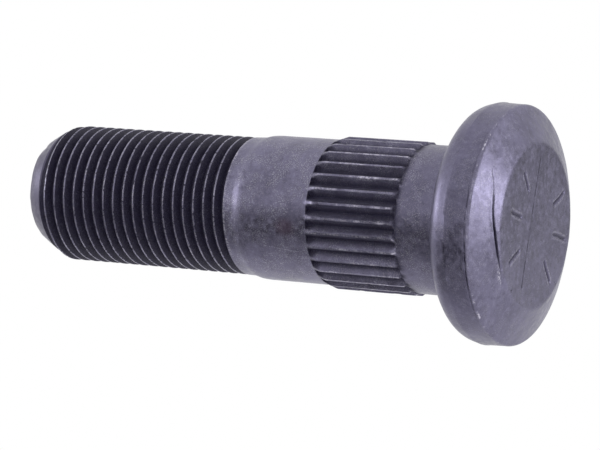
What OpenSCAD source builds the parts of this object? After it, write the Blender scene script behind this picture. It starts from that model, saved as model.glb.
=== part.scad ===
// Press-in wheel stud: a forged round head, a straight-knurled press
// section, a plain shank and a fine right-hand thread, in one piece of steel.
// The origin is the centre of the seat under the head. +Z runs to the tip.

/* [Head] */
// Diameter of the head over its rim
head_d = 31.9; // [31:0.1:36]
// Height of the head, from its seat to its end face
head_h = 8.7; // [7.5:0.05:12]
// Diameter at which the tapered back of the rim would reach the seat
back_d = 30.4; // [25:0.1:31]
// Height of the tapered back of the rim
back_h = 3.1; // [2.8:0.05:3.6]
// Radius between the seat and the back of the rim
back_r = 2.8; // [0.5:0.1:3]
// Height of the straight side of the rim
rim_h = 3.3; // [1.5:0.05:3.6]
// Radius on the forged edge between the rim and the sloping shoulder
rim_r = 0.5; // [0.2:0.05:0.8]
// Diameter of the flat end face
face_d = 21.9; // [14:0.1:25]
// Radius between the sloping shoulder and the end face
face_r = 1.6; // [0.5:0.1:3]

/* [Neck] */
// Diameter of the plain neck between head and knurl
neck_d = 19.9; // [18.8:0.05:20.2]
// Length of the neck, from the seat to the knurl
neck_l = 7.25; // [4:0.05:14]
// Fillet where the neck meets the seat
neck_fillet = 0.8; // [0.3:0.1:1.5]

/* [Knurl] */
// Diameter over the tooth crests
knurl_d = 20.65; // [20.4:0.05:22]
// Length of the knurl
knurl_l = 13.1; // [6:0.1:24]
// Number of teeth around the stud
knurl_teeth = 32; // [20:1:40]
// Depth of the grooves below the crests
knurl_depth = 0.95; // [0.7:0.05:1.1]
// Width of the flat on each crest
knurl_crest = 0.35; // [0.2:0.05:0.5]
// Width of the flat at the bottom of each groove
knurl_root = 0.3; // [0.1:0.05:0.4]
// Length of the tapered lead at each end of the teeth
knurl_lead = 1.4; // [0.5:0.05:2]

/* [Shank] */
// Diameter of the plain shank
shank_d = 19.65; // [19.2:0.05:20.2]
// Length of the plain shank
shank_l = 10.6; // [4:0.1:30]
// Length of the cone from the shank down to the thread
cone_l = 0.95; // [0.6:0.05:4]
// Diameter at the foot of the cone, where the thread runs out
relief_d = 18.7; // [17.8:0.05:18.7]

/* [Thread] */
// Diameter over the thread crests
thread_d = 18.8; // [18.7:0.05:19.5]
// Distance from one crest to the next
pitch = 1.5875; // [1.4:0.0125:2]
// Length of the thread, from the cone to the tip
thread_l = 33.5; // [20:0.05:60]
// Radial depth of the thread
thread_depth = 0.95; // [0.7:0.01:1.1]
// Width of the flat on the crest
crest_w = 0.2; // [0.1:0.01:0.35]
// Width of the flat at the root
root_w = 0.25; // [0.1:0.01:0.35]
// Length over which the grooves fade out above the cone
runout_l = 2.6; // [1:0.1:4]
// Angle around the axis at which the groove begins, from +X
start_angle = 158; // [0:1:359]

/* [Tip] */
// Diameter of the flat end of the stud
tip_d = 14.5; // [12:0.1:16]
// Length of the lead-in chamfer
tip_l = 3.8; // [3:0.1:6]

/* [Hidden] */
$fn = 96;
steel = "#5f5b6a";
dark_steel = "#37343f";

// Straight facets around one turn of thread
turn = 36;
// Facets along each rounded edge of the head
arc_steps = 10;
// How far a sub-part runs into its neighbour, so that they fuse
join = 0.5;
// How far the thin ends of the teeth run over the neck and the shank
tooth_over = 0.2;
// How far the thread's core lies inside the foot of the cone
core_in = 0.1;
// Play left between two helical lines where the thread has no depth
least_depth = 0.04;
// Distance from the last groove to the tip's end face
tip_land = 0.15;

// Heights along the axis
knurl_z = neck_l;
shank_z = knurl_z + knurl_l;
cone_z = shank_z + shank_l;
thread_z = cone_z + cone_l;
tip_z = thread_z + thread_l;
back_z = -back_h;
rim_z = back_z - rim_h;
face_z = -head_h;

// Radii of the thread
crest_rad = thread_d / 2;
root_rad = crest_rad - thread_depth;
relief_rad = relief_d / 2;
tip_rad = tip_d / 2;
// Axial travel of a flank for each millimetre of depth
flank_slope = (pitch - crest_w - root_w) / 2 / thread_depth;

function between(low, high, share) = low + (high - low) * share;
function along(vector, length) = vector / norm(vector) * length;
function on_arc(radius, angle) = [radius * cos(angle), radius * sin(angle)];
function on_circle(radius, angle, z) = [radius * cos(angle), radius * sin(angle), z];

// The corner of an outline, rounded to the given radius
function rounded(before, corner, after, radius) =
  let (
    to_before = along(before - corner, 1),
    to_after = along(after - corner, 1),
    half = acos(to_before * to_after) / 2,
    reach = radius / tan(half),
    centre = corner + along(to_before + to_after, radius / sin(half)),
    start = corner + to_before * reach - centre,
    end = corner + to_after * reach - centre,
    first = atan2(start[1], start[0]),
    sweep = (atan2(end[1], end[0]) - first + 540) % 360 - 180
  )
    [for (i = [0 : arc_steps]) centre + on_arc(radius, first + sweep * i / arc_steps)];

// The forged head: seat, tapered back, rim, sloping shoulder and end face
module head() {
  seat = [0, 0];
  seat_corner = [back_d / 2, 0];
  rim_back = [head_d / 2, back_z];
  rim_front = [head_d / 2, rim_z];
  face_corner = [face_d / 2, face_z];
  face = [0, face_z];
  color(steel)
    rotate_extrude()
      polygon([
        seat,
        each rounded(seat, seat_corner, rim_back, back_r),
        rim_back,
        each rounded(rim_back, rim_front, face_corner, rim_r),
        each rounded(rim_front, face_corner, face, face_r),
        face
      ]);
}

// The plain neck, with the fillet that blends it into the seat
module neck() {
  radius = neck_d / 2;
  seat_edge = [radius + neck_fillet, 0];
  foot = [radius, 0];
  top = [radius, neck_l];
  color(steel)
    rotate_extrude()
      polygon([
        [0, -join],
        [radius + neck_fillet, -join],
        each rounded(seat_edge, foot, top, neck_fillet),
        top,
        [0, neck_l]
      ]);
}

// Section through the knurl: straight-sided teeth around a core
module knurl_outline() {
  tooth = 360 / knurl_teeth;
  crest = knurl_d / 2;
  root = crest - knurl_depth;
  half_crest = knurl_crest / crest * 90 / PI;
  half_root = knurl_root / root * 90 / PI;
  polygon([
    for (i = [0 : knurl_teeth - 1])
      for (corner = [
        [root, half_root],
        [crest, tooth / 2 - half_crest],
        [crest, tooth / 2 + half_crest],
        [root, tooth - half_root]
      ])
        let (angle = i * tooth + corner[1])
          [corner[0] * cos(angle), corner[0] * sin(angle)]
  ]);
}

// The press section: teeth whose ends taper down into neck and shank
module knurl() {
  crest = knurl_d / 2 + join;
  neck_side = neck_d / 2;
  shank_side = shank_d / 2;
  neck_slope = (knurl_d / 2 - neck_side) / knurl_lead;
  shank_slope = (knurl_d / 2 - shank_side) / knurl_lead;
  low = knurl_z - tooth_over;
  high = shank_z + tooth_over;
  color(dark_steel)
    intersection() {
      translate([0, 0, knurl_z - join])
        linear_extrude(knurl_l + 2 * join)
          knurl_outline();
      rotate_extrude()
        polygon([
          [0, low - join],
          [neck_side - neck_slope * join, low - join],
          [crest, low + (crest - neck_side) / neck_slope],
          [crest, high - (crest - shank_side) / shank_slope],
          [shank_side - shank_slope * join, high + join],
          [0, high + join]
        ]);
    }
}

// The plain shank and the cone that leads down to the thread
module shank() {
  color(steel)
    rotate_extrude()
      polygon([
        [0, shank_z],
        [shank_d / 2, shank_z],
        [shank_d / 2, cone_z],
        [relief_rad, thread_z],
        [0, thread_z]
      ]);
}

// The thread is four helical lines: both edges of the crest and both edges
// of the root. They fade into the relief at one end and, at the other, lie
// on the lead-in chamfer of the tip.
function fade(z) = max(0, min(1, (z - thread_z) / runout_l));
function chamfer_rad(z) = tip_rad + (tip_z - z) * (crest_rad - tip_rad) / tip_l;
function surface_rad(z) = min(between(relief_rad, crest_rad, fade(z)), chamfer_rad(z));
function groove_rad(z) = min(between(relief_rad, root_rad, fade(z)), chamfer_rad(z));
function half_land(z) =
  let (depth = max(least_depth, surface_rad(z) - groove_rad(z)))
    (pitch - root_w) / 2 - depth * flank_slope;

module thread() {
  first_z = thread_z + (pitch - root_w) / 2;
  last_z = tip_z - tip_land - (pitch + root_w) / 2;
  steps = floor((last_z - first_z) / pitch * turn);

  function angle(k) = start_angle + k * 360 / turn;
  function crest_z(k) = first_z + k * pitch / turn;
  function surface_point(k, z) = on_circle(surface_rad(z), angle(k), z);
  function groove_point(k, z) = on_circle(groove_rad(z), angle(k), z);
  function foot_ring(k) = 4 * (steps + 1) + k % turn;
  function tip_ring(k) = 4 * (steps + 1) + turn + k % turn;
  function line(k, i) = 4 * k + i;
  function quad(a, b, c, d) = [[a, b, c], [a, c, d]];
  function fan(hub, rim) = [for (i = [0 : len(rim) - 2]) [hub, rim[i], rim[i + 1]]];

  points = [
    for (k = [0 : steps])
      let (z = crest_z(k), land = half_land(z))
        each [
          surface_point(k, z - land),
          surface_point(k, z + land),
          groove_point(k, z + (pitch - root_w) / 2),
          groove_point(k, z + (pitch + root_w) / 2)
        ],
    for (k = [0 : turn - 1])
      on_circle(relief_rad - core_in, angle(k), thread_z - join),
    for (k = [0 : turn - 1])
      on_circle(tip_rad, angle(k), tip_z)
  ];

  // The strips between the lines of one crest and of its groove
  strips = [
    for (k = [0 : steps - 1])
      for (i = [0 : 2])
        each quad(line(k, i), line(k, i + 1), line(k + 1, i + 1), line(k + 1, i))
  ];
  // The strip from each groove up to the crest one turn further on
  seams = [
    for (k = [0 : steps - turn - 1])
      each quad(line(k, 3), line(k + turn, 0), line(k + turn + 1, 0), line(k + 1, 3))
  ];
  // The first turn closed down to a flat ring inside the cone
  foot = concat(
    [
      for (k = [0 : turn - 2])
        each quad(foot_ring(k), line(k, 0), line(k + 1, 0), foot_ring(k + 1))
    ],
    fan(line(turn - 1, 0), [
      line(turn, 0), line(0, 3), line(0, 2), line(0, 1), line(0, 0), foot_ring(0), foot_ring(turn - 1)
    ]),
    [[for (k = [0 : turn - 1]) foot_ring(k)]]
  );
  // The last turn closed up to the flat end of the tip
  top = steps - turn;
  end = concat(
    fan(line(top + 1, 3), [
      line(top, 3), line(steps, 0), line(steps, 1), line(steps, 2), line(steps, 3),
      tip_ring(steps), tip_ring(steps + 1)
    ]),
    [
      for (k = [top + 1 : steps - 1])
        each quad(line(k, 3), tip_ring(k), tip_ring(k + 1), line(k + 1, 3))
    ],
    [[for (k = [turn - 1 : -1 : 0]) tip_ring(k)]]
  );
  color(dark_steel)
    polyhedron(points, concat(strips, seams, foot, end), convexity = 10);
}

module stud() {
  union() {
    head();
    neck();
    knurl();
    shank();
    thread();
  }
}

stud();
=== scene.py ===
"""The looks of a press-in wheel stud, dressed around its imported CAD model.

The stud stands on the end face of its head, with +Z up along its axis to
the threaded tip. Lengths named here are in millimetres and the objects in
metres. Angles around the axis are in degrees from +X.
"""
import math

import bpy
import numpy as np
from mathutils import Matrix, Vector


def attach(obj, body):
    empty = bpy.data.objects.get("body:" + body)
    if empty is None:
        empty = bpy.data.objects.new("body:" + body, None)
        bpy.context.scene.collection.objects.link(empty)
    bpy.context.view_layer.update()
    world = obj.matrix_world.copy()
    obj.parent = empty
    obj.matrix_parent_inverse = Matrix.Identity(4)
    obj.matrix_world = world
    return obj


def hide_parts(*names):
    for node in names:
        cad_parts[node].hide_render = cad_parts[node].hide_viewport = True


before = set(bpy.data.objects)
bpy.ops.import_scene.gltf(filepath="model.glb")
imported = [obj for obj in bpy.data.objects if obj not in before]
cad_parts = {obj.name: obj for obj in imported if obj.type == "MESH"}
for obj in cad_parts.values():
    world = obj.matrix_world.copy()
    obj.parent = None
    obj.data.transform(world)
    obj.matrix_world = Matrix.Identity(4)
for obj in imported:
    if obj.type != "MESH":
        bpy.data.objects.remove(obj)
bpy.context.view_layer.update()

MM = 0.001
NODE = "stud"

# Camera, from the photograph
PHOTO_W = 600.0
PHOTO_H = 450.0
LENS_MM = 200.4
SENSOR_MM = 36.0
SIGHT_ANGLE = 61.6
ROLL_ANGLE = 4.53
AIM_HEIGHT = 36.6
AIM_PIXEL = (235.0, 204.5)
AIM_DEPTH = 457.7

# Head
RIM_FRONT_R = 15.88
RIM_BACK_R = 16.02
HEAD_SHIFT = 0.10
SEAT_CORNER_R = 15.2
BACK_H = 3.1
BACK_ROUND = 2.8
RIM_H = 3.3
RIM_ROUND = 0.5
FACE_R = 10.95
FACE_ROUND = 1.3
FACE_Z = -8.7

# Neck, knurl and shank
NECK_R = 9.95
NECK_L = 7.25
NECK_FILLET = 0.8
KNURL_R = 10.32
KNURL_L = 13.1
KNURL_DEPTH = 0.95
KNURL_LEAD = 1.4
NECK_LEAD = 0.45
TOOTH_OVER = 0.2
TEETH = 32
TOOTH_CREST = 0.3
TOOTH_ROOT = 0.3
SHANK_R = 9.825
SHANK_L = 10.6
CONE_L = 0.95
RELIEF_R = 9.44
# Height and radius of the soft shoulder between shank and thread
SHOULDER = [
    (30.0, 9.812), (30.3, 9.795), (30.55, 9.77), (30.75, 9.74), (30.9, 9.71), (31.02, 9.68),
    (31.14, 9.645), (31.3, 9.60), (31.5, 9.55), (31.7, 9.505),
]
SHOULDER_FOOT_R = 9.47

# Thread and tip
CREST_R = 9.4
PITCH = 1.5875
THREAD_L = 33.5
THREAD_DEPTH = 0.95
CREST_W = 0.2
ROOT_W = 0.25
RUNOUT_L = 1.9
RUNOUT_TURN = 0.27
START_ANGLE = 157.5
TIP_R = 7.22
TIP_L = 3.8
TIP_LAND = 0.15
TIP_SHIFT = 0.1
BAND_END_Z = 62.92

# Points around one ring of each zone
CENTRE_SIDES = 128
FACE_SIDES = 480
SIDES = 256
THREAD_SIDES = 192
LEAST_DEPTH = 0.04

# Marks on the head: angle, inner and outer radius of each stroke
STROKES = [
    (-34.8, 5.5, 8.4),
    (-77.5, 4.9, 8.1),
    (-124.2, 5.5, 8.9),
    (142.0, 5.6, 9.2),
    (97.8, 5.7, 9.7),
    (59.0, 5.9, 9.6),
]
STROKE_W = 0.55
STROKE_DEPTH = 0.2
# Bruised teeth of the knurl: angle, height above its start and reach
KNURL_BRUISES = [(-61.9, 4.9, 1.7), (-95.6, 1.95, 0.4)]
# The forging lap on the sloping shoulder: angle and radius along it
LAP = [
    (-131.0, 11.46), (-122.3, 11.30), (-113.6, 11.26), (-104.5, 11.41), (-96.6, 11.65), (-88.9, 11.99),
    (-80.7, 12.30), (-75.6, 12.45), (-69.8, 12.67), (-64.5, 13.10), (-60.8, 13.62),
]

KNURL_Z = NECK_L
SHANK_Z = KNURL_Z + KNURL_L
CONE_Z = SHANK_Z + SHANK_L
THREAD_Z = CONE_Z + CONE_L
TIP_Z = THREAD_Z + THREAD_L
BACK_Z = -BACK_H
RIM_Z = BACK_Z - RIM_H


def even_angles(sides):
    return np.arange(sides) * 360.0 / sides


def smoothstep(low, high, x):
    t = np.clip((np.asarray(x, float) - low) / (high - low), 0.0, 1.0)
    return t * t * (3.0 - 2.0 * t)


def turned(angle):
    """The same angle between -180 and 180 degrees."""
    return (np.asarray(angle, float) + 180.0) % 360.0 - 180.0


def bump(x, centre, half_width):
    return np.exp(-(((x - centre) / half_width) ** 2))


def ring_noise(angles, heights, seed, waves, cell):
    """Smooth noise from -1 to 1 that closes on itself around the axis."""
    grid = np.random.default_rng(seed).uniform(-1.0, 1.0, (waves, 256))
    u = np.mod(np.asarray(angles, float), 360.0) / 360.0 * waves
    v = np.asarray(heights, float) / cell + 128.0
    u0 = np.floor(u).astype(int)
    v0 = np.floor(v).astype(int)
    fu = smoothstep(0, 1, u - u0)
    fv = smoothstep(0, 1, v - v0)
    near = grid[u0 % waves, v0 % 256] * (1 - fu) + grid[(u0 + 1) % waves, v0 % 256] * fu
    far = grid[u0 % waves, (v0 + 1) % 256] * (1 - fu) + grid[(u0 + 1) % waves, (v0 + 1) % 256] * fu
    return near * (1 - fv) + far * fv


def peaks(noise, level):
    """Only what stands above a level of the noise, stretched to 0 to 1."""
    return smoothstep(level, 1.0, noise)


class Skin:
    """A closed surface made of rings about the Z axis, from the head's face to the tip.

    Each point has a share of bare worn metal and a share of black oily dirt and painted shade.
    """

    def __init__(self):
        self.points = []
        self.wear = []
        self.dark = []
        self.faces = []
        self.count = 0
        self.last = None
        self.last_angles = None

    def add_points(self, radius, angle, z, wear=0.0, dark=0.0, shift=0.0):
        radius, angle, z, wear, dark = np.broadcast_arrays(radius, np.radians(angle), z, wear, dark)
        block = np.stack([radius * np.cos(angle) + shift, radius * np.sin(angle), z], -1).reshape(-1, 3)
        self.points.append(block)
        self.wear.append(np.asarray(wear, float).reshape(-1))
        self.dark.append(np.asarray(dark, float).reshape(-1))
        first = self.count
        self.count += len(block)
        return np.arange(first, self.count)

    def quads(self, a, b, c, d):
        self.faces.extend(zip(a.tolist(), b.tolist(), c.tolist(), d.tolist()))

    def join(self, low, high):
        """Quads between two rings of equal length, wound to face outwards."""
        self.quads(low, np.roll(low, -1), np.roll(high, -1), high)

    def bridge(self, low, low_angles, high, high_angles):
        """Triangles between two rings of unequal length, matched by angle."""
        n, m = len(low), len(high)
        i = j = 0
        while i < n or j < m:
            next_low = low_angles[(i + 1) % n] + 360.0 * ((i + 1) // n)
            next_high = high_angles[(j + 1) % m] + 360.0 * ((j + 1) // m)
            if j >= m or (i < n and next_low <= next_high):
                self.faces.append((int(low[i % n]), int(low[(i + 1) % n]), int(high[j % m])))
                i += 1
            else:
                self.faces.append((int(low[i % n]), int(high[(j + 1) % m]), int(high[j % m])))
                j += 1

    def ring(self, radius, z, angles=None, sides=SIDES, **looks):
        angles = even_angles(sides) if angles is None else np.asarray(angles, float)
        radius = np.broadcast_to(radius, angles.shape)
        ring = self.add_points(radius, angles, np.broadcast_to(z, angles.shape), **looks)
        if self.last is not None:
            if len(self.last) == len(ring):
                self.join(self.last, ring)
            else:
                self.bridge(self.last, self.last_angles, ring, angles)
        self.last = ring
        self.last_angles = angles
        return ring

    def pole(self, z, closing):
        """The point on the axis that starts or ends the surface."""
        point = int(self.add_points(0.0, 0.0, z)[0])
        ring = self.last.tolist()
        for a, b in zip(ring, ring[1:] + ring[:1]):
            self.faces.append((point, b, a) if closing else (point, a, b))

    def mesh(self, name):
        mesh = bpy.data.meshes.new(name)
        points = np.concatenate(self.points) * MM
        mesh.from_pydata(points.tolist(), [], self.faces)
        for label, values in (("wear", self.wear), ("dark", self.dark)):
            layer = mesh.attributes.new(label, "FLOAT", "POINT")
            layer.data.foreach_set("value", np.concatenate(values).astype(np.float32))
        mesh.update()
        return mesh


def arc(before, corner, after, radius, steps):
    """Points of a rounded corner of an outline, as (radius, height) pairs."""
    before, corner, after = (np.array(p, float) for p in (before, corner, after))
    a = (before - corner) / np.linalg.norm(before - corner)
    b = (after - corner) / np.linalg.norm(after - corner)
    half = math.acos(float(a @ b)) / 2
    reach = radius / math.tan(half)
    centre = corner + (a + b) / np.linalg.norm(a + b) * radius / math.sin(half)
    start = corner + a * reach - centre
    end = corner + b * reach - centre
    t0 = math.atan2(start[1], start[0])
    sweep = (math.atan2(end[1], end[0]) - t0 + math.pi) % (2 * math.pi) - math.pi
    return [centre + radius * np.array([math.cos(t), math.sin(t)]) for t in np.linspace(t0, t0 + sweep, steps)]


def line(start, end, steps):
    """Points strictly between two points of an outline."""
    start, end = np.array(start, float), np.array(end, float)
    return [start + (end - start) * t for t in np.linspace(0, 1, steps + 2)[1:-1]]


class Outline:
    """A chain of (radius, height) points, read by its length from 0 to 1."""

    def __init__(self, points):
        self.points = np.array(points)
        steps = np.linalg.norm(np.diff(self.points, axis=0), axis=1)
        self.length = steps.sum()
        self.along = np.concatenate([[0], np.cumsum(steps)]) / self.length

    def at(self, share, lift=0.0):
        """Radius and height at a share of the length, lifted off the surface."""
        radius = np.interp(share, self.along, self.points[:, 0])
        z = np.interp(share, self.along, self.points[:, 1])
        step = 0.004
        ahead, behind = np.clip(share + step, 0, 1), np.clip(share - step, 0, 1)
        dr = np.interp(ahead, self.along, self.points[:, 0]) - np.interp(behind, self.along, self.points[:, 0])
        dz = np.interp(ahead, self.along, self.points[:, 1]) - np.interp(behind, self.along, self.points[:, 1])
        size = np.hypot(dr, dz)
        return radius + lift * dz / size, z - lift * dr / size


def stroke_cut(radius, angles):
    """Depth of the six short strokes at each point of a ring of the face."""
    depth = np.zeros(len(angles))
    lip = np.zeros(len(angles))
    for number, (centre, inner, outer) in enumerate(STROKES):
        aside = radius * np.radians(turned(angles - centre))
        wobble = 0.05 * math.sin(radius * 1.7 + number * 2.0)
        ends = smoothstep(inner - 0.25, inner + 0.25, radius) * (1 - smoothstep(outer - 0.25, outer + 0.25, radius))
        across = np.abs(aside + wobble) / (STROKE_W / 2)
        depth += STROKE_DEPTH * ends * np.clip(1.25 - across, 0, 1)
        lip += 0.03 * ends * np.exp(-((across - 1.7) / 0.45) ** 2)
    return depth, lip


def build_face(skin, edge_r):
    for radius in np.concatenate([[0.4], np.linspace(1.0, 4.2, 8), np.linspace(4.5, 10.2, 30), [edge_r]]):
        sides = FACE_SIDES if radius > 4.3 else CENTRE_SIDES
        angles = even_angles(sides)
        depth, lip = stroke_cut(radius, angles)
        settle = 1 - smoothstep(9.6, edge_r, radius)
        sag = 0.012 * ring_noise(angles, radius, 11, 14, 2.2) + 0.006 * ring_noise(angles, radius, 12, 50, 0.8)
        wear = 0.5 * lip / 0.035
        # Painted shade: the strokes are darker the deeper they are cut.
        dark = 0.75 * depth / STROKE_DEPTH
        skin.ring(radius, FACE_Z + depth - lip + sag * settle, sides=sides, wear=wear, dark=dark, shift=HEAD_SHIFT)
        if radius == 0.4:
            skin.pole(FACE_Z, closing=True)


def build_shoulder(skin, outline):
    """Rounded face edge, sloping shoulder with its lap, and forged edge of the rim."""
    angles = even_angles(FACE_SIDES)
    lap_angle = np.array([p[0] for p in LAP])
    lap_share = np.interp([p[1] for p in LAP], outline.points[:, 0], outline.along)
    home = 0.28
    inside = smoothstep(-150, -131, turned(angles)) * (1 - smoothstep(-61, -40, turned(angles)))
    share_at = np.interp(turned(angles), lap_angle, lap_share)
    centre = home + (share_at - home) * inside
    strength = bump(turned(angles), -97, 18)
    width = 0.07 + 0.15 * strength
    present = smoothstep(-133.5, -131, turned(angles)) * (1 - smoothstep(-62, -57, turned(angles)))
    depth = (0.03 + 0.33 * strength) * present

    offsets = np.array([-0.11, -0.07, -0.045, -0.025, 0.0, 0.022, 0.045, 0.07, 0.11])
    early = np.linspace(0.0, home - 0.14, 6)[1:]
    late = np.concatenate([np.linspace(home + 0.15, 0.9, 16), np.linspace(0.915, 1.0, 9)])
    rows = np.concatenate([early, home + offsets, late])
    for row in rows:
        share = np.where(row < home, row * centre / home, 1 - (1 - row) * (1 - centre) / (1 - home))
        aside = (share - centre) * outline.length
        cut = depth * np.clip(1.15 - np.abs(aside - 0.05) / width, 0, 1)
        lip = 0.07 * present * (0.3 + 0.7 * strength) * np.exp(-(((aside - width - 0.22) / 0.16) ** 2))
        spread = smoothstep(0.02, 0.12, row) * (1 - smoothstep(0.86, 0.93, row))
        hammered = 0.03 * ring_noise(angles, share * outline.length, 21, 38, 1.3)
        hammered += 0.014 * ring_noise(angles, share * outline.length, 22, 110, 0.5)
        edge = smoothstep(0.938, 0.955, row) * (1 - smoothstep(0.97, 0.985, row))
        chips = peaks(ring_noise(angles, row * 3, 23, 200, 1.0), -0.1)
        chips = chips * (bump(turned(angles), -51, 13) + bump(turned(angles), -139, 9) + 0.15)
        lift = hammered * spread + lip - cut + 0.07 * edge * chips
        wear = np.clip(2.0 * edge * chips, 0, 1) + np.clip(lip / 0.02, 0, 1) * bump(turned(angles), -125, 6)
        # Painted shade: the lap is darker the deeper it is cut.
        dark = np.clip(cut / 0.14, 0, 1)
        radius, z = outline.at(share, lift)
        skin.ring(radius, z, sides=FACE_SIDES, wear=wear, dark=dark, shift=HEAD_SHIFT)


def build_rim(skin):
    """The side of the rim, its tapered back, the seat and the fillet to the neck."""
    rim_back = (RIM_BACK_R, BACK_Z)
    seat_corner = (SEAT_CORNER_R, 0.0)
    seat_inner = (NECK_R, 0.0)
    angles = even_angles(SIDES)
    torn = np.clip(bump(turned(angles), -108, 22) + 0.3 * bump(turned(angles), -78, 20), 0, 1)
    torn = torn * smoothstep(-0.8, 0.15, ring_noise(angles, 0, 31, 110, 1.0))
    # The ledge under the torn edge is pulled in and darkened with painted shadow where it is torn.
    ledge = [(RIM_Z + 0.34, 0.2), (RIM_Z + 0.39, 1.0), (RIM_Z + 0.49, 1.0), (RIM_Z + 0.6, 0.1)]
    for z, burr in ledge + [(z, 0.0) for z in np.linspace(RIM_Z + 0.95, BACK_Z - 0.25, 7)]:
        side_r = np.interp(z, [RIM_Z, BACK_Z], [RIM_FRONT_R, RIM_BACK_R])
        waves = 0.03 * ring_noise(angles, z, 32, 40, 2.0) - 0.02
        skin.ring(side_r - 0.13 * burr * torn + waves, z, dark=burr * torn, shift=HEAD_SHIFT)
    back_arc = arc(rim_back, seat_corner, seat_inner, BACK_ROUND, 12)
    fillet = arc(seat_corner, seat_inner, (NECK_R, NECK_L), NECK_FILLET, 6)
    chain = [np.array(rim_back)] + line(rim_back, back_arc[0], 2) + back_arc
    for radius, z in chain:
        uneven = 0.012 * ring_noise(angles, z, 33, 44, 0.9)
        skin.ring(radius + uneven, z, shift=HEAD_SHIFT)
    for radius, z in line(back_arc[-1], fillet[0], 2) + fillet:
        skin.ring(radius, z)


def build_head(skin):
    face_centre = (0.0, FACE_Z)
    face_corner = (FACE_R, FACE_Z)
    rim_front = (RIM_FRONT_R, RIM_Z)
    rim_back = (RIM_BACK_R, BACK_Z)
    face_arc = arc(face_centre, face_corner, rim_front, FACE_ROUND, 24)
    rim_arc = arc(face_corner, rim_front, rim_back, RIM_ROUND, 24)
    shoulder = Outline(face_arc + line(face_arc[-1], rim_arc[0], 60) + rim_arc)
    build_face(skin, face_arc[0][0])
    build_shoulder(skin, shoulder)
    build_rim(skin)


def build_neck(skin):
    angles = even_angles(SIDES)
    for z in np.linspace(NECK_FILLET, 6.2, 8)[1:]:
        skin.ring(NECK_R + 0.008 * ring_noise(angles, z, 41, 30, 2.0), z)


def tooth_section():
    """Around the knurl, groove by groove: angle, share of height, share of wear and share of dirt and painted shade."""
    tooth = 360.0 / TEETH
    root_r = KNURL_R - KNURL_DEPTH
    half_root = math.degrees(TOOTH_ROOT / root_r / 2)
    half_crest = math.degrees(TOOTH_CREST / KNURL_R / 2)
    flank = tooth / 2 - half_crest - half_root
    # The last column is black dirt and painted shade: deepest at the root and darker on one flank than on the other.
    spots = [
        (0.0, 0.0, 0.0, 1.0),
        (half_root + 0.15 * flank, 0.15, 0.0, 0.9),
        (half_root + 0.6 * flank, 0.6, 0.0, 0.3),
        (half_root + 0.96 * flank, 0.96, 0.0, 0.16),
        (tooth / 2 - half_crest, 1.0, 0.4, 0.05),
        (tooth / 2, 1.0, 0.9, 0.0),
        (tooth / 2 + half_crest, 1.0, 0.4, 0.0),
        (tooth - half_root - 0.96 * flank, 0.96, 0.05, 0.05),
        (tooth - half_root - 0.6 * flank, 0.6, 0.0, 0.16),
        (tooth - half_root - 0.15 * flank, 0.15, 0.0, 0.7),
    ]
    angles, shares, rubs, groove_dirt_and_shade = (np.array(values, float) for values in zip(*spots))
    starts = np.repeat(np.arange(TEETH) * tooth, len(spots))
    return starts + np.tile(angles, TEETH), np.tile(shares, TEETH), np.tile(rubs, TEETH), np.tile(groove_dirt_and_shade, TEETH)


def build_knurl(skin):
    angles, shares, rubs, groove_dirt_and_shade = tooth_section()
    teeth = np.repeat(np.arange(TEETH), len(angles) // TEETH)
    drift = np.random.default_rng(51).normal(0, 0.02, TEETH)[teeth]
    full = KNURL_R - KNURL_DEPTH * (1 - shares)
    crest = shares > 0.9
    end_wall = 0.05
    jagged = ring_noise(angles, 0, 54, 140, 1.0)
    shadow = smoothstep(-0.6, 0.2, ring_noise(angles, 0, 55, 120, 1.0))
    # Painted shadow on the neck next to the knurl's end, broken up by the shadow noise.
    skin.ring(NECK_R, 6.65, angles, dark=0.3 * shadow)
    skin.ring(NECK_R, KNURL_Z - TOOTH_OVER + 0.1 * jagged, angles, dark=0.95 * shadow)
    lead = np.linspace(0, KNURL_LEAD, 7)
    middle = np.linspace(KNURL_LEAD, KNURL_L - KNURL_LEAD, 36)[1:-1]
    heights = np.concatenate([lead, middle, KNURL_L - lead[::-1]])
    for h in heights:
        near_neck = NECK_R + (KNURL_R - NECK_R) * (h + TOOTH_OVER) / NECK_LEAD
        near_shank = SHANK_R + (KNURL_R - SHANK_R) * (KNURL_L - h + TOOTH_OVER) / KNURL_LEAD
        nick = peaks(ring_noise(angles, h, 52, 96, 0.7), 0.4) * crest
        dip = 0.1 * nick + np.abs(drift) * crest
        radius = np.minimum(full - dip, min(near_neck, near_shank))
        place = min(max(h, end_wall), KNURL_L - end_wall)
        rub = 0.4 + 0.75 * ring_noise(angles, h, 53, 128, 0.9)
        bruise = sum(bump(turned(angles), at, 3.0) * bump(h, height, reach) for at, height, reach in KNURL_BRUISES)
        shank_end = smoothstep(KNURL_L - KNURL_LEAD, KNURL_L - 0.3, h)
        wear = np.clip(rub - 0.5 * nick, 0.05, 1) * rubs * (1 - 0.7 * shank_end)
        hit = (bruise * (0.9 + 0.8 * ring_noise(angles, h, 56, 160, 0.4)) + 0.8 * bump(h, 0.1, 0.2) * (1 - shadow)) * crest
        wear = np.clip(wear + hit, 0, 1)
        # Dark share: dirt and painted shade from the groove section, darker nicks, a painted shadow at the neck end of
        # the teeth and painted shade at the shank end of the grooves.
        soiled_and_shaded = groove_dirt_and_shade + 0.5 * nick + 0.5 * bump(h, 0.0, 0.15) * shadow + shank_end * np.where(crest, 0.25, 1.0)
        skin.ring(radius, KNURL_Z + place, angles, wear=wear, dark=np.clip(soiled_and_shaded - bruise * crest, 0, 1))
    for share in (0.0, 0.5, 1.0):
        height = np.where(crest, (KNURL_R - SHANK_R) * TOOTH_OVER * (1 - share) / KNURL_LEAD, 0.0)
        skin.ring(SHANK_R + height, SHANK_Z + TOOTH_OVER * share, angles)


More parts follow.
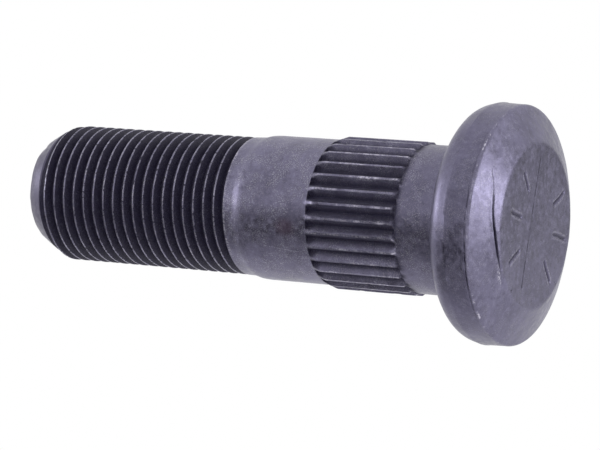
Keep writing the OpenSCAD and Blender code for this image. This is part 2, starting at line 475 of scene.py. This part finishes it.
def build_shank(skin):
    """The plain shank and its soft shoulder down to the start of the thread."""
    angles = even_angles(SIDES)
    for z in np.linspace(SHANK_Z + TOOTH_OVER, 29.6, 14)[1:]:
        skin.ring(SHANK_R + 0.008 * ring_noise(angles, z, 61, 28, 2.5), z)
    for z, radius in SHOULDER:
        skin.ring(radius + 0.01 * ring_noise(angles, z, 61, 28, 2.5), z)
    skin.ring(SHOULDER_FOOT_R, THREAD_Z, sides=THREAD_SIDES)


def chamfer_radius(z):
    return TIP_R + (TIP_Z - z) * (CREST_R - TIP_R) / TIP_L


def surface_radius(z):
    rise = np.clip((z - THREAD_Z) / RUNOUT_L, 0.0, 1.0)
    return np.minimum(RELIEF_R + (CREST_R - RELIEF_R) * rise, chamfer_radius(z))


def tip_shift(z):
    """How far the end of the thread stands off the axis, along X."""
    return TIP_SHIFT * smoothstep(61.8, BAND_END_Z, z)


def tip_dent(angles):
    """Shallow flats on the edge of the tip."""
    flats = 0.2 * bump(turned(angles), -36, 6) + 0.04 * ring_noise(angles, 0, 82, 40, 1.0)
    return flats - 0.1 * bump(turned(angles), -60, 14)


def groove_radius(turns, z):
    """Root of the groove, which opens over the first part of its first turn."""
    depth = THREAD_DEPTH * smoothstep(0.0, RUNOUT_TURN, turns)
    root = np.maximum(CREST_R - THREAD_DEPTH, surface_radius(z) - depth)
    return np.minimum(root, chamfer_radius(z))


def build_thread(skin):
    """Helical lines along crest, flanks and root, closed to a ring at each end."""
    turn = THREAD_SIDES
    slope = (PITCH - CREST_W - ROOT_W) / 2 / THREAD_DEPTH
    first_z = THREAD_Z + (PITCH - ROOT_W) / 2
    last_z = TIP_Z - TIP_LAND - (PITCH + ROOT_W) / 2
    steps = int((last_z - first_z) / PITCH * turn)
    k = np.arange(steps + 1)
    angle = START_ANGLE + k * 360.0 / turn
    z = first_z + k * PITCH / turn
    root_low = (PITCH - ROOT_W) / 2
    root_high = (PITCH + ROOT_W) / 2
    depth = np.maximum(LEAST_DEPTH, surface_radius(z) - groove_radius(k / turn, z))
    land = root_low - depth * slope
    narrow = smoothstep(8.25, 8.42, chamfer_radius(z)) * smoothstep(TIP_Z - TIP_L - 1, TIP_Z - TIP_L, z)
    land = land + (np.minimum(land, CREST_W / 2 + 0.02) - land) * narrow
    wander = 0.02 * ring_noise(angle, z, 71, 40, 1.2)
    nick = peaks(ring_noise(angle, z, 72, 120, 0.9), 0.45)
    rub = np.clip(0.55 + 0.5 * ring_noise(angle, z, 73, 150, 1.1) + 0.25 * ring_noise(angle, z, 74, 20, 4.0), 0.1, 1)
    rub = rub * (1 - smoothstep(0.12, 0.3, land))

    def crest_line(offset, dip, wear):
        height = z + offset
        wear = wear * (1 - smoothstep(BAND_END_Z - 0.35, BAND_END_Z - 0.05, height))
        return surface_radius(height) - dip, height + wander, wear

    def groove_line(radius, offset):
        return radius, z + offset, 0.0

    surface_high = surface_radius(z + land)
    groove_low = groove_radius(k / turn, z + root_low)
    groove_high = groove_radius(k / turn, z + root_high)
    next_low = PITCH - land[np.minimum(k + turn, steps)]
    next_radius = surface_radius(z + next_low)
    lines = [
        crest_line(-land, 0.05 * nick, 0.6 * rub),
        crest_line(0 * land, 0.02 * nick, rub),
        crest_line(land, 0.05 * nick, 0.6 * rub),
        groove_line(surface_high * 0.55 + groove_low * 0.45, land + (root_low - land) * 0.45),
        groove_line(groove_low, root_low),
        groove_line(groove_high, root_high),
        groove_line(groove_high * 0.45 + next_radius * 0.55, root_high + (next_low - root_high) * 0.55),
    ]
    ids = [skin.add_points(radius, angle, height, wear, shift=tip_shift(height)) for radius, height, wear in lines]
    count = len(lines)

    for low, high in zip(ids[:-1], ids[1:]):
        skin.quads(low[:-1], low[1:], high[1:], high[:-1])
    skin.quads(ids[-1][:steps - turn], ids[-1][1:steps - turn + 1], ids[0][turn + 1:], ids[0][turn:steps])

    def at(step, index):
        return int(ids[index][step])

    foot = np.roll(skin.last, -int(round(START_ANGLE / 360.0 * turn)))
    edge_r, edge_z = (values[:turn] for values in lines[0][:2])
    near_r = SHOULDER_FOOT_R + (edge_r - SHOULDER_FOOT_R) * 0.85
    near_z = THREAD_Z + (edge_z - THREAD_Z) * 0.85
    near = skin.add_points(near_r, angle[:turn], near_z)
    skin.quads(foot[:-1], foot[1:], near[1:], near[:-1])
    skin.quads(near[:-1], near[1:], ids[0][1:turn], ids[0][:turn - 1])
    hub = at(turn - 1, 0)
    chain = [int(near[turn - 1]), int(foot[turn - 1]), int(foot[0]), int(near[0])]
    chain += [at(0, i) for i in range(count)] + [at(turn, 0)]
    for low, high in zip(chain[:-1], chain[1:]):
        skin.faces.append((hub, low, high))

    top = steps - turn
    tip_angles = START_ANGLE + np.arange(turn) * 360.0 / turn
    tip = skin.add_points(TIP_R - tip_dent(tip_angles), tip_angles, TIP_Z - 0.12, shift=TIP_SHIFT)

    def tip_at(step):
        return int(tip[step % turn])

    for s in range(top + 1, steps):
        skin.faces.append((at(s, count - 1), at(s + 1, count - 1), tip_at(s + 1), tip_at(s)))
    hub = at(top + 1, count - 1)
    chain = [at(top, count - 1)] + [at(steps, i) for i in range(count)] + [tip_at(steps)]
    for low, high in zip(chain[:-1], chain[1:]):
        skin.faces.append((hub, high, low))
    skin.faces.append((hub, tip_at(steps + 1), tip_at(steps)))
    skin.last = tip
    skin.last_angles = tip_angles


def build_tip(skin):
    angles = skin.last_angles
    skin.ring(TIP_R - 0.12 - tip_dent(angles), TIP_Z, angles, wear=0.25, shift=TIP_SHIFT)
    for radius in (5.5, 3.5, 1.5):
        skin.ring(radius, TIP_Z - 0.02 * ring_noise(angles, radius, 81, 12, 1.5) - 0.02, angles, shift=TIP_SHIFT)
    skin.pole(TIP_Z - 0.02, closing=False)


def build_stud():
    skin = Skin()
    build_head(skin)
    build_neck(skin)
    build_knurl(skin)
    build_shank(skin)
    build_thread(skin)
    build_tip(skin)
    mesh = skin.mesh("stud_skin")
    mesh.polygons.foreach_set("use_smooth", np.ones(len(mesh.polygons), dtype=bool))
    mesh.set_sharp_from_angle(angle=math.radians(24))
    stud = bpy.data.objects.new("stud_skin", mesh)
    bpy.context.scene.collection.objects.link(stud)
    return stud


class Shader:
    """Short calls for the nodes of one material."""

    def __init__(self, name):
        self.material = bpy.data.materials.new(name)
        self.material.use_nodes = True
        self.tree = self.material.node_tree
        self.tree.nodes.clear()

    def node(self, kind, inputs=None, **settings):
        made = self.tree.nodes.new(kind)
        for key, value in settings.items():
            setattr(made, key, value)
        for key, value in (inputs or {}).items():
            self.feed(made.inputs[key], value)
        return made

    def feed(self, socket, value):
        if isinstance(value, bpy.types.NodeSocket):
            self.tree.links.new(value, socket)
        else:
            socket.default_value = value

    def math(self, operation, a, b=0.0, clamp=False):
        return self.node("ShaderNodeMath", {0: a, 1: b}, operation=operation, use_clamp=clamp).outputs[0]

    def mix(self, share, a, b):
        made = self.node("ShaderNodeMix", {0: share, 6: a, 7: b}, data_type="RGBA")
        return made.outputs[2]

    def blend(self, share, a, b):
        made = self.node("ShaderNodeMix", {0: share, 2: a, 3: b}, data_type="FLOAT")
        return made.outputs[0]

    def stretch(self, value, low, high, to_low=0.0, to_high=1.0):
        made = self.node("ShaderNodeMapRange", {0: value, 1: low, 2: high, 3: to_low, 4: to_high})
        made.interpolation_type = "SMOOTHSTEP"
        return made.outputs[0]

    def stretch_flat(self, value, low, high, to_low=0.0, to_high=1.0):
        made = self.node("ShaderNodeMapRange", {0: value, 1: low, 2: high, 3: to_low, 4: to_high})
        return made.outputs[0]

    def noise(self, coords, size_mm, detail=2.0, rough=0.5):
        made = self.node("ShaderNodeTexNoise", {"Vector": coords, "Scale": 1.0 / (size_mm * MM), "Detail": detail,
                                                "Roughness": rough})
        return made.outputs[0]

    def finish(self, surface):
        self.node("ShaderNodeOutputMaterial", {"Surface": surface})
        return self.material


def on_skin(angle, radius, z):
    """Object coordinates of a place on the skin."""
    return (radius * math.cos(math.radians(angle)) * MM, radius * math.sin(math.radians(angle)) * MM, z * MM)


def spot(shader, coords, centre, half_size):
    """A soft round mask about a place on the skin, half_size in millimetres along x, y and z."""
    away = shader.node("ShaderNodeVectorMath", {0: coords, 1: centre}, operation="SUBTRACT").outputs[0]
    scaled = shader.node("ShaderNodeVectorMath", {0: away, 1: tuple(1.0 / (s * MM) for s in half_size)},
                         operation="MULTIPLY").outputs[0]
    far = shader.node("ShaderNodeVectorMath", {0: scaled}, operation="LENGTH").outputs["Value"]
    return shader.stretch(far, 1.0, 0.25)


def scratch(shader, coords, start, end, half_width):
    """A mask along the straight line between two places, half_width in millimetres."""
    reach = [b - a for a, b in zip(start, end)]
    size = sum(part * part for part in reach)
    away = shader.node("ShaderNodeVectorMath", {0: coords, 1: start}, operation="SUBTRACT").outputs[0]
    along = shader.node("ShaderNodeVectorMath", {0: away, 1: tuple(part / size for part in reach)},
                        operation="DOT_PRODUCT").outputs["Value"]
    along = shader.math("ADD", along, 0.0, clamp=True)
    foot = shader.node("ShaderNodeVectorMath", {0: tuple(reach), "Scale": along}, operation="SCALE").outputs[0]
    aside = shader.node("ShaderNodeVectorMath", {0: away, 1: foot}, operation="DISTANCE").outputs["Value"]
    return shader.stretch(aside, half_width * MM, 0.4 * half_width * MM)


def most(shader, masks):
    """The strongest of several masks."""
    strongest = masks[0]
    for mask in masks[1:]:
        strongest = shader.math("MAXIMUM", strongest, mask)
    return strongest


def thread_dirt_and_shade(shader, radius, z, speck):
    """Black dirt and painted shade over everything below the crests of the thread, as far as the plain band at the tip.
    """
    rise = shader.stretch_flat(z, THREAD_Z, THREAD_Z + RUNOUT_L, RELIEF_R, CREST_R)
    chamfer = shader.stretch_flat(z, TIP_Z - TIP_L, TIP_Z, CREST_R, TIP_R)
    depth = shader.math("SUBTRACT", shader.math("MINIMUM", rise, chamfer), radius)
    uneven = shader.math("MULTIPLY", shader.math("SUBTRACT", speck, 0.5), shader.stretch(z, 33.2, 34.2, 0.0, 0.25))
    deep = shader.stretch(shader.math("ADD", depth, uneven), 0.0, 0.055)
    under_band = shader.stretch(radius, 8.74, 8.68)
    below = shader.math("MAXIMUM", deep, under_band)
    zone = shader.math("MULTIPLY", shader.stretch(z, 32.3, 32.4), shader.stretch(z, BAND_END_Z + 0.03, BAND_END_Z - 0.03))
    return shader.math("MULTIPLY", below, zone)


# Start, end and half width of the bright scratches
SCRATCHES = [
    (on_skin(-48, 9.58, 32.2), on_skin(-52, 9.66, 31.0), 0.07),
    (on_skin(-46, 9.56, 32.0), on_skin(-50, 9.66, 31.2), 0.06),
    (on_skin(-121.5, SHANK_R, 27.0), on_skin(-125, SHANK_R, 21.9), 0.05),
]
# The plain line stamped across the face
STAMP_LINE = [
    ((9.0 * MM, -0.25 * MM, FACE_Z * MM), (0.93 * MM, -1.66 * MM, FACE_Z * MM)),
    ((0.93 * MM, -1.66 * MM, FACE_Z * MM), (-7.9 * MM, -3.06 * MM, FACE_Z * MM)),
]


def steel_material():
    shader = Shader("phosphated_steel")
    coords = shader.node("ShaderNodeTexCoord").outputs["Object"]
    in_mm = shader.node("ShaderNodeVectorMath", {0: coords, "Scale": 1 / MM}, operation="SCALE").outputs[0]
    z = shader.node("ShaderNodeSeparateXYZ", {0: in_mm}).outputs[2]
    flat = shader.node("ShaderNodeVectorMath", {0: in_mm, 1: (1, 1, 0)}, operation="MULTIPLY").outputs[0]
    radius = shader.node("ShaderNodeVectorMath", {0: flat}, operation="LENGTH").outputs["Value"]
    wear = shader.node("ShaderNodeAttribute", attribute_name="wear").outputs["Fac"]
    dark = shader.node("ShaderNodeAttribute", attribute_name="dark").outputs["Fac"]
    speck = shader.noise(coords, 0.3, 1.0, 0.5)
    dark = shader.math("MAXIMUM", dark, thread_dirt_and_shade(shader, radius, z, speck))
    grain = shader.noise(coords, 0.16, 2.0, 0.6)
    mottle = shader.noise(coords, 0.7, 3.0, 0.6)
    blotch = shader.noise(coords, 3.5, 3.0, 0.55)

    base = shader.mix(shader.stretch(blotch, 0.3, 0.7), (0.138, 0.129, 0.195, 1), (0.178, 0.167, 0.252, 1))
    base = shader.mix(shader.stretch(mottle, 0.5, 0.72, 0.0, 0.5), base, (0.26, 0.245, 0.355, 1))
    base = shader.mix(shader.stretch(mottle, 0.47, 0.3, 0.0, 0.4), base, (0.085, 0.079, 0.12, 1))
    # Painted shade: the head's rim and the neck are darkened by up to a quarter.
    neck_and_rim_shade = shader.math("MULTIPLY", shader.stretch(z, 7.4, 6.8, 0.0, 0.24), shader.stretch(z, -6.2, -6.0))
    base = shader.mix(neck_and_rim_shade, base, (0.08, 0.074, 0.118, 1))
    # Painted shade: the plain band at the tip gets a darker colour, which dims the lamp's reflection in it.
    base = shader.mix(shader.stretch(z, 62.6, 63.0), base, (0.104, 0.096, 0.146, 1))
    stain = spot(shader, coords, on_skin(-104.7, SHANK_R, 23.5), (1.7, 2.0, 2.1))
    base = shader.mix(shader.math("MULTIPLY", stain, 0.33), base, (0.17, 0.085, 0.12, 1))
    dust = shader.stretch(shader.noise(coords, 0.13, 1.0, 0.5), 0.5, 0.7)
    dusty = shader.stretch(shader.noise(coords, 2.2, 2.0, 0.6), 0.35, 0.65, 0.2, 1.0)
    on_shank = shader.math("MULTIPLY", shader.stretch(z, 62.0, 34.0, 0.2, 0.75), shader.stretch(z, -1.0, 6.0, 0.4, 1.0))
    grit = shader.math("MULTIPLY", dust, dusty)
    dust = shader.math("MULTIPLY", grit, on_shank)
    base = shader.mix(dust, base, (0.42, 0.41, 0.47, 1))
    marks = most(shader, [scratch(shader, coords, a, b, width) for a, b, width in SCRATCHES])
    marks = shader.math("MULTIPLY", marks, shader.stretch(grain, 0.4, 0.6))
    base = shader.mix(shader.math("MULTIPLY", marks, 0.8), base, (0.5, 0.48, 0.58, 1))
    rubbed = shader.math("MULTIPLY", wear, shader.stretch(speck, 0.4, 0.6, 0.05, 1.2), clamp=True)
    base = shader.mix(rubbed, base, (0.5, 0.48, 0.58, 1))
    stamp = most(shader, [scratch(shader, coords, a, b, 0.19) for a, b in STAMP_LINE])
    stamp = shader.math("MULTIPLY", stamp, shader.stretch(shader.noise(coords, 0.9, 1.0, 0.5), 0.38, 0.52, 0.3, 0.95))
    dark = shader.math("MAXIMUM", dark, stamp)
    # The colour of the dark share, black dirt and painted shade, with a little grey grit.
    soot_and_shade = shader.mix(shader.stretch(grain, 0.35, 0.7), (0.0205, 0.017, 0.04, 1), (0.038, 0.033, 0.073, 1))
    soot_and_shade = shader.mix(shader.math("MULTIPLY", grit, 0.14), soot_and_shade, (0.42, 0.41, 0.5, 1))
    base = shader.mix(dark, base, soot_and_shade)

    rough = shader.stretch(mottle, 0.3, 0.7, 0.3, 0.46)
    rough = shader.blend(dark, rough, 0.5)
    height = shader.math("ADD", shader.math("MULTIPLY", grain, 0.4), mottle)
    bumped = shader.node("ShaderNodeBump", {"Height": height, "Strength": 0.35, "Distance": 0.05 * MM}).outputs[0]
    metallic = shader.math("SUBTRACT", 1.0, shader.math("MAXIMUM", dark, shader.math("MULTIPLY", dust, 0.5)))
    metal = shader.node("ShaderNodeBsdfPrincipled", {"Base Color": base, "Roughness": rough, "Normal": bumped,
                                                     "Metallic": metallic, "Specular IOR Level": 0.25})
    return shader.finish(metal.outputs[0])


def place_camera():
    """Puts the camera where the photograph's was, from the stud's axis as it shows there."""
    sight = math.radians(SIGHT_ANGLE)
    roll = math.radians(ROLL_ANGLE)
    focal = LENS_MM / SENSOR_MM * PHOTO_W
    down_axis = Vector((math.sin(sight) * math.cos(roll), math.sin(sight) * math.sin(roll), -math.cos(sight)))
    aim = Vector((
        (AIM_PIXEL[0] - PHOTO_W / 2) / focal * AIM_DEPTH,
        (AIM_PIXEL[1] - PHOTO_H / 2) / focal * AIM_DEPTH,
        AIM_DEPTH,
    ))
    to_camera = -aim.normalized()
    near_side = (to_camera - to_camera.dot(down_axis) * down_axis).normalized()
    across = down_axis.cross(near_side)
    basis = (-across, -near_side, -down_axis)

    def in_row(vector):
        return Vector([vector.dot(axis) for axis in basis])

    right = in_row(Vector((1, 0, 0)))
    up = in_row(Vector((0, -1, 0)))
    back = in_row(Vector((0, 0, -1)))
    place = (Vector((0, 0, AIM_HEIGHT)) - in_row(aim)) * MM
    rotation = Matrix((right, up, back)).transposed().to_4x4()
    data = bpy.data.cameras.new("photo_camera")
    data.lens = LENS_MM
    data.sensor_width = SENSOR_MM
    data.clip_start = 0.01
    camera = bpy.data.objects.new("photo_camera", data)
    camera.matrix_world = Matrix.Translation(place) @ rotation
    bpy.context.scene.collection.objects.link(camera)
    bpy.context.scene.camera = camera
    return camera


def set_world():
    world = bpy.data.worlds.new("studio")
    bpy.context.scene.world = world
    world.use_nodes = True
    tree = world.node_tree
    tree.nodes.clear()
    output = tree.nodes.new("ShaderNodeOutputWorld")
    seen = tree.nodes.new("ShaderNodeBackground")
    seen.inputs["Color"].default_value = (1, 1, 1, 1)
    seen.inputs["Strength"].default_value = 1.0
    fill = tree.nodes.new("ShaderNodeBackground")
    fill.inputs["Color"].default_value = (1, 1, 1, 1)
    fill.inputs["Strength"].default_value = 0.5
    path = tree.nodes.new("ShaderNodeLightPath")
    first = tree.nodes.new("ShaderNodeMath")
    first.operation = "MAXIMUM"
    second = tree.nodes.new("ShaderNodeMath")
    second.operation = "MAXIMUM"
    mix = tree.nodes.new("ShaderNodeMixShader")
    tree.links.new(path.outputs["Is Camera Ray"], first.inputs[0])
    tree.links.new(path.outputs["Is Glossy Ray"], first.inputs[1])
    tree.links.new(first.outputs[0], second.inputs[0])
    tree.links.new(path.outputs["Is Transmission Ray"], second.inputs[1])
    tree.links.new(second.outputs[0], mix.inputs["Fac"])
    tree.links.new(fill.outputs[0], mix.inputs[1])
    tree.links.new(seen.outputs[0], mix.inputs[2])
    tree.links.new(mix.outputs[0], output.inputs["Surface"])


def add_floor():
    """A pale floor under the head, which shows from above only."""
    bpy.ops.mesh.primitive_plane_add(size=1.2, location=(0, 0, FACE_Z * MM))
    floor = bpy.context.object
    floor.name = "floor"
    shader = Shader("floor_paint")
    paint = shader.node("ShaderNodeBsdfDiffuse", {"Color": (0.9, 0.9, 0.9, 1)}).outputs[0]
    path = shader.node("ShaderNodeLightPath").outputs
    seen = most(shader, [path["Is Camera Ray"], path["Is Glossy Ray"], path["Is Transmission Ray"]])
    pale = shader.node("ShaderNodeEmission", {"Strength": shader.math("MULTIPLY", seen, 0.2)}).outputs[0]
    paint = shader.node("ShaderNodeAddShader", {0: paint, 1: pale}).outputs[0]
    clear = shader.node("ShaderNodeBsdfTransparent").outputs[0]
    under = shader.node("ShaderNodeNewGeometry").outputs["Backfacing"]
    mixed = shader.node("ShaderNodeMixShader", {0: under, 1: paint, 2: clear}).outputs[0]
    floor.data.materials.append(shader.finish(mixed))
    floor.visible_shadow = False
    floor.visible_diffuse = False
    floor.visible_glossy = False


def add_card(name, seen_from, direction, distance, across, size, level, core, cover=1.0):
    """A soft-edged oval card that faces a place on the axis: a lamp where its level is above 1, else a flag.

    Its width runs along the direction named across, its core is the share of it that is full, and
    its cover is how much of what lies behind it it hides.
    """
    bpy.ops.mesh.primitive_plane_add(size=1.0)
    card = bpy.context.object
    card.name = name
    facing = -Vector(direction).normalized()
    side = Vector(across)
    side = (side - side.dot(facing) * facing).normalized()
    turn = Matrix((side, facing.cross(side), facing)).transposed().to_4x4()
    place = Vector((0, 0, seen_from)) - facing * distance
    card.matrix_world = Matrix.Translation(place * MM) @ turn @ Matrix.Diagonal((size[0] * MM, size[1] * MM, 1, 1))
    shader = Shader(name)
    coords = shader.node("ShaderNodeTexCoord").outputs["Object"]
    flat = shader.node("ShaderNodeVectorMath", {0: coords, 1: (2, 2, 0)}, operation="MULTIPLY").outputs[0]
    away = shader.node("ShaderNodeVectorMath", {0: flat}, operation="LENGTH").outputs["Value"]
    mask = shader.stretch(away, 1.0, core, 0.0, cover)
    glow = shader.node("ShaderNodeEmission", {"Color": (1, 1, 1, 1), "Strength": level}).outputs[0]
    clear = shader.node("ShaderNodeBsdfTransparent").outputs[0]
    mixed = shader.node("ShaderNodeMixShader", {0: mask, 1: clear, 2: glow}).outputs[0]
    card.data.materials.append(shader.finish(mixed))
    card.visible_camera = False
    card.visible_shadow = False
    return card


def around(turn):
    """A level direction turned about the axis from the camera's side, in degrees towards -X."""
    return -math.sin(math.radians(turn)), -math.cos(math.radians(turn))


def add_flag(name, turn, distance, size, level, cover, seen_from=25):
    x, y = around(turn)
    add_card(name, seen_from, (x * 0.88, y * 0.88, 0.476), distance, (-y, x, 0), size, level, 0.05, cover)


def add_cards():
    add_flag("front_flag", 25, 400, (470, 560), 0.03, 0.92)
    add_flag("near_flag", 27, 150, (250, 150), 0.0, 0.65, -24)
    add_flag("low_flag", 64, 440, (760, 560), 0.1, 0.55)
    add_card("taper_flag", -1, (-0.56, -0.21, 0.8), 400, (0.35, -0.94, 0), (370, 320), 0.05, 0.1, 0.72)
    add_flag("high_flag", -30, 450, (560, 500), 0.1, 0.35)
    add_card("face_flag", -8, (0.16, 0.87, -0.47), 130, (1, 0, 0), (120, 180), 0.1, 0.1, 0.64)
    add_card("shoulder_lamp", -8, (0.2, 0.25, -0.945), 420, (1, 0, 0), (165, 290), 5.2, 0.75)
    add_card("back_lamp", -1, (0.15, -0.3, 0.94), 420, (1, 0, 0), (170, 320), 5.0, 0.6)


def main():
    place_camera()
    set_world()
    add_floor()
    add_cards()
    stud = build_stud()
    stud.data.materials.append(steel_material())
    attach(stud, "root")
    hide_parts(NODE)
    bpy.context.scene.view_settings.view_transform = "Standard"
    print("triangles", sum(len(p.vertices) - 2 for p in stud.data.polygons))


main()
